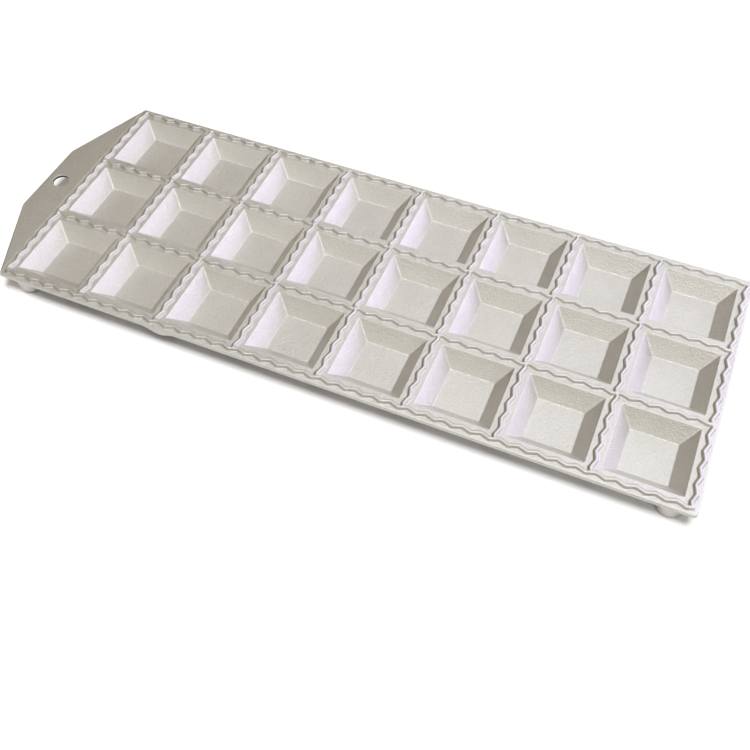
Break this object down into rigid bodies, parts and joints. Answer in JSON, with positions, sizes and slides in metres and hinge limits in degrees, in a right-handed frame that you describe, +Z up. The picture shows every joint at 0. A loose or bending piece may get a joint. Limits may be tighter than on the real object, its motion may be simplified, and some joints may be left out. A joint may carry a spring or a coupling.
{
  "type": "ravioli mold",
  "caption": "Cast ravioli mold: a shallow tray of square tapered pockets ringed by zigzag cutting ridges, with a hanging tab at one end and small feet.",
  "frame": {"origin": "on the plane that the feet stand on, under the middle of the overall length and width", "axes": "+X along the tray, away from the hanging tab; +Z up, out of the pockets; +Y across the tray"},
  "size_m": [0.3098, 0.1136, 0.01],
  "materials": {
    "cast_aluminium": "satin, fine cast grain"
  },
  "bodies": {
    "root": {"mold_tray": "cast_aluminium"}
  },
  "joints": []
}
